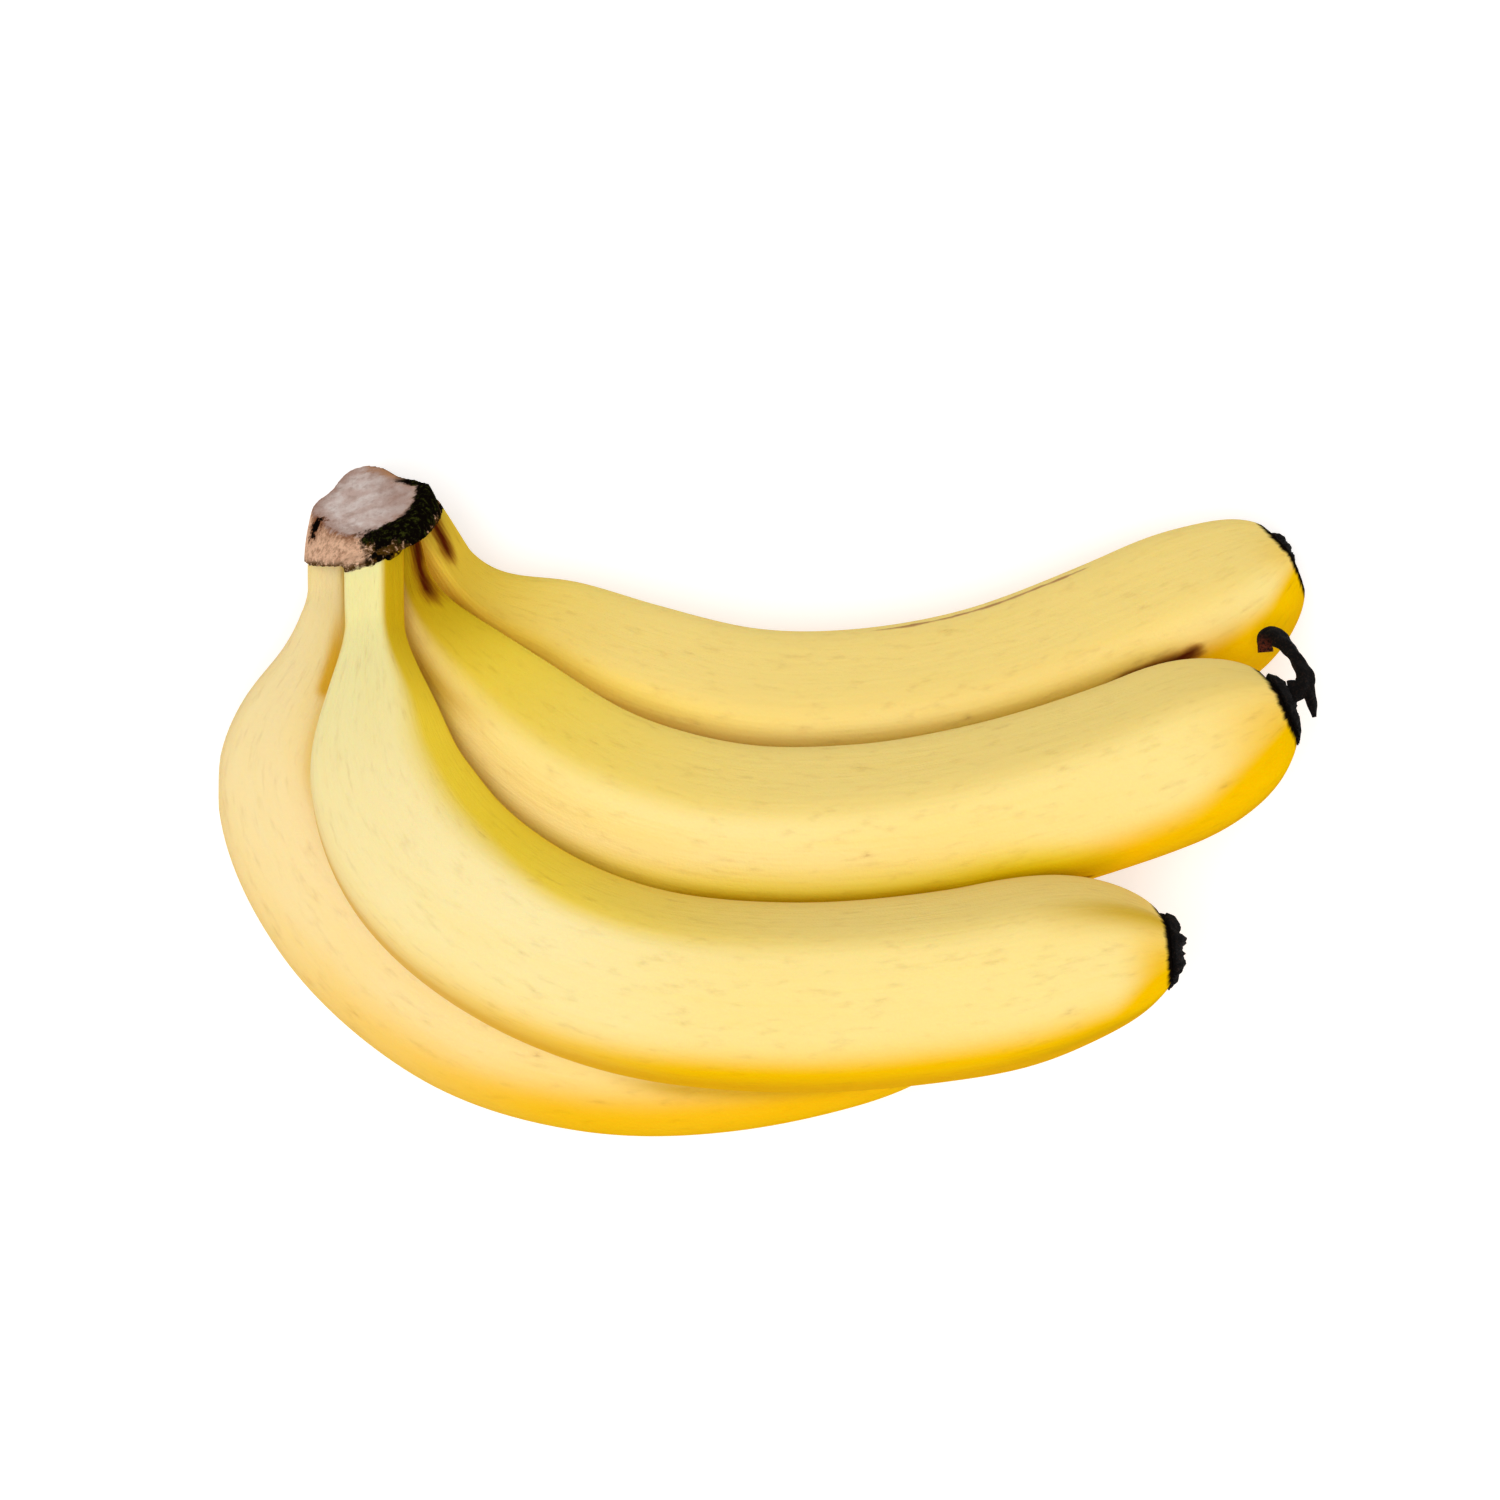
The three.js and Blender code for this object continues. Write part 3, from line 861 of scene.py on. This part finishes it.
def gold_cover(finger, past, down, tip):
    """How strongly the gold of the outer side and of the tip shows: painted shade, where the peel
    turns down and away from the light.
    """
    outer = smooth(past, finger["gold_from"], finger["gold_from"] + GOLD_EDGE_TURN)
    outer = outer * (1 - 0.5 * smooth(past, *GOLD_THINS_TURNS))
    outer = np.maximum(outer, 1 - smooth(past, *GOLD_FAR_TURNS))
    lower = smooth(past, *(finger["gold_from"] + turn for turn in TIP_GOLD_TURNS))
    at_tip = 1 - smooth(tip, TIP_ALL_GOLD, finger["gold_reach"])
    tip_gold = finger["gold_tip"] * (0.25 + lower) * at_tip
    return np.minimum(finger["gold_side"] * outer * smooth(down, *GOLD_DOWNS) + tip_gold, 1)


def peel_traits(finger, distance, angle, length):
    """What the peel's finish needs to know at each point of a grid [ring, side]."""
    shape = (len(distance), len(angle))
    down = np.broadcast_to(distance[:, None], shape)
    turn = np.broadcast_to(angle, shape)
    past = (np.degrees(turn - ridge_angle(finger, down / length)) + 180) % 360 - 180
    radius = finger["thickness"] / 2
    softens, hardens = SOFT_EDGE_DOWNS
    soft = finger["green"] * smooth(down, *softens) * (1 - smooth(down, *hardens))
    edge_from, edge_to = SHADED_EDGE_TURNS
    off_bottom = abs(np.degrees(turn) % 360 - 270)
    # inner and olive place the painted shade of the side within the bend; gold and under place the
    # painted shade of the side, the tip and the underside turned away from the light
    return {
        "down": down,
        "tip": length - down,
        "inner": 1 - smooth(past, edge_from - SOFT_EDGE_TURN * soft, edge_to),
        "olive": finger["shade"] * (1 - smooth(down, *finger["shade_reach"])),
        "gold": gold_cover(finger, past, down, length - down),
        "under": 1 - smooth(off_bottom, *UNDERSIDE_TURNS),
        "grain": np.stack([radius * np.cos(turn), radius * np.sin(turn), down], -1),
        **{kind: stain(kind, finger, down, past) for kind in STAINS},
        **{name: np.full(shape, float(finger[name])) for name in ("blush", "green", "deep")},
    }


FINGER_RINGS = 170
FINGER_SIDES = 100
RING_CROWDING = 0.07  # how much closer the rings are at both ends of a finger


def grow_fingers(finish):
    """Shows the four fingers, and gives back their points and traits."""
    skins = []
    for finger in FINGERS:
        length = Route(finger["route"]).length
        t = np.linspace(0, 1, FINGER_RINGS)
        distance = length * (t - RING_CROWDING * np.sin(2 * np.pi * t))
        angle = around(finger, FINGER_SIDES)
        traits = peel_traits(finger, distance, angle, length)
        traits = {name: with_ends(values) for name, values in traits.items()}
        points, faces = tube(finger_grid(finger, distance, angle))
        skins.append((points, traits, faces))
    for finger, (points, traits, faces) in zip(FINGERS, skins):
        others = np.vstack([skin[0] for skin in skins if skin[0] is not points])
        traits["crevice_shading"] = crevice_shading(finger, points, others, traits["down"])
        number = finger["name"][-1]
        shown(f"peel_{number}", points, faces, finish, traits, finger["name"])
    return [skin[:2] for skin in skins]


# ---- Crown and necks, grown together ------------------------------------------------------

NECK_STUB = 15  # how far down the necks the crown's skin reaches
NECK_RINGS, NECK_SIDES = 24, 60
NECK_ROOT = 1.5  # how deep the necks' tops are in the slab, so that the two merge
SKIN_OVER, SKIN_SINKS = 0.12, 0.5  # over the peel at the crown, and how far it sinks from there


def merged(shells, voxel, smoothing):
    """Closed shells as one skin, with the creases between them softened."""
    points, faces = together(shells)
    mesh = bpy.data.meshes.new("shells")
    mesh.from_pydata(points.tolist(), [], faces)
    body = bpy.data.objects.new("shells", mesh)
    bpy.context.scene.collection.objects.link(body)
    remesh = body.modifiers.new("one skin", "REMESH")
    remesh.mode = "VOXEL"
    remesh.voxel_size = voxel
    soften = body.modifiers.new("soft creases", "SMOOTH")
    soften.factor = 0.5
    soften.iterations = smoothing
    skin = body.evaluated_get(bpy.context.evaluated_depsgraph_get()).data
    found = np.empty(len(skin.vertices) * 3)
    skin.vertices.foreach_get("co", found)
    corners = [tuple(face.vertices) for face in skin.polygons]
    bpy.data.objects.remove(body)
    return found.reshape(-1, 3), corners


def grow_crown(peels, finish):
    """The cut slab and the tops of the necks. peels are the fingers' points and traits."""
    shells = [crown_slab()]
    distance = np.linspace(0, NECK_STUB, NECK_RINGS)
    grow = SKIN_OVER - SKIN_SINKS * distance / NECK_STUB
    for finger in FINGERS:
        grid = finger_grid(finger, distance, around(finger, NECK_SIDES), grow, NECK_ROOT)
        shells.append(tube(grid))
    points, faces = merged(shells, voxel=0.45, smoothing=5)

    # the necks' tops are coloured like the nearest point of the fingers
    tree = search_tree(np.vstack([skin for skin, _ in peels]))
    nearest = [tree.find(place)[1] for place in points]
    traits = {
        name: np.concatenate([carried[name] for _, carried in peels])[nearest]
        for name in peels[0][1]
    }
    normal, place = crown_plane("underside")
    traits["above"] = (points - place) @ normal
    traits["past_rim"] = past_rim(points)
    traits["across"] = (points - CROWN["centre"]) @ CROWN_ACROSS
    traits["height"] = (points - CROWN["centre"]) @ UP
    traits["to_spot"] = np.linalg.norm(points - BLACK_SPOT, axis=1)
    traits["place"] = points
    shown("crown_and_necks", points, faces, finish, traits, "crown")


# ---- Flower ends --------------------------------------------------------------------------


def stub_profile():
    """How far out and how wide each ring of a stub is, as shares of its length and radius.

    The rings go out along the collar to the torn rim, then back in to the hollow's floor.
    """
    collar = np.linspace(0, 1, 16)
    widths = np.interp(collar, [0, 0.25, 0.7, 1], [0.86, 1, 0.88, 0.66])
    out = np.concatenate([collar, np.linspace(0.97, 0.3, 10), [0.24, 0.2]])
    wide = np.concatenate([widths, np.linspace(0.56, 0.34, 10), [0.2, 0.08]])
    return zip(out, wide)


def dry_stub(finger, sides=144):
    """A stub of the dried flower: a fibrous collar that opens to a torn, hollow end."""
    route = Route(finger["route"])
    end = np.array([route.length])
    along, inward, up = route.directions(end, LOOK_AHEAD)
    angle = turns(sides)
    out = spokes(angle, inward, up)[0]
    seed = 10 * finger["ridge"]
    lopsided = 0.72 + 0.38 * np.cos(angle - math.radians(finger["flower_peak"]))
    rows = []
    for share, wide in stub_profile():
        # teeth are coarse and the same all along the stub, fibres are fine and change along it
        teeth, fibres = [], []
        for turn in angle:
            spoke = Vector((math.cos(turn), math.sin(turn), 0))
            teeth.append(noise.noise(spoke * 3.2 + Vector((0, 0, seed))))
            fibres.append(noise.noise(spoke * 11 + Vector((0, 0, seed + share))))
        teeth, fibres = np.array(teeth), np.array(fibres)
        torn = lopsided * (1 + 0.3 * teeth + 0.15 * fibres)
        reach = finger["flower_length"] * share * torn - JOINT_GAP
        radius = finger["flower_radius"] * wide * (1 + 0.12 * teeth + 0.1 * fibres)
        rows.append(route.at(end)[0] + reach[:, None] * along[0] + radius[:, None] * out)
    return tube(np.array(rows))


def strand(points, radii, steps=60, sides=18):
    """A thin dry strand along a route, wrinkled lengthwise."""
    route = Route(points)
    distance = np.linspace(0, route.length, steps)
    _, inward, up = route.directions(distance, look_ahead=0.2)
    radius = np.interp(np.linspace(0, 1, steps), np.linspace(0, 1, len(radii)), radii)
    angle = turns(sides)
    wrinkles = 1 + 0.1 * np.sin(4 * angle + distance[:, None] * 0.5)
    wrinkles = wrinkles + 0.08 * np.sin(distance[:, None] * 1.7 + 2 * angle)
    out = spokes(angle, inward, up)
    return tube(route.at(distance)[:, None] + (radius[:, None] * wrinkles)[..., None] * out)


def dry_flower_end(finger, finish):
    """The stub at a finger's tip, and on finger 3 the style with its spur."""
    number = finger["name"][-1]
    shells = [dry_stub(finger)]
    if finger["name"] == "finger_3":
        shells.append(strand(STYLE_CURL, STYLE_CURL_RADIUS))
        shells.append(strand(STYLE_SPUR, STYLE_SPUR_RADIUS, steps=20))
    points, faces = together(shells)
    from_curl_end = np.linalg.norm(points - np.array(STYLE_CURL[-1]), axis=1)
    traits = {"place": points, "faded": 1 - smooth(from_curl_end, 2, 4.5)}
    node = f"flower_end_{number}"
    shown(f"dry_tip_{number}", points, faces, finish, traits, node)


# ---- Floor --------------------------------------------------------------------------------


def lay_floor():
    mesh = bpy.data.meshes.new("floor")
    corners = [(-1, -1), (1, -1), (1, 1), (-1, 1)]
    corners = [(x * FLOOR_HALF, y * FLOOR_HALF, 0) for x, y in corners]
    mesh.from_pydata(corners, [], [(0, 1, 2, 3)])
    mesh.materials.append(floor_finish().material)
    floor = bpy.data.objects.new("floor", mesh)
    bpy.context.scene.collection.objects.link(floor)


place_camera()
light_studio()
lay_floor()
grow_crown(grow_fingers(peel_finish()), crown_finish())
dried = dried_finish()
for finger in FINGERS:
    dry_flower_end(finger, dried)
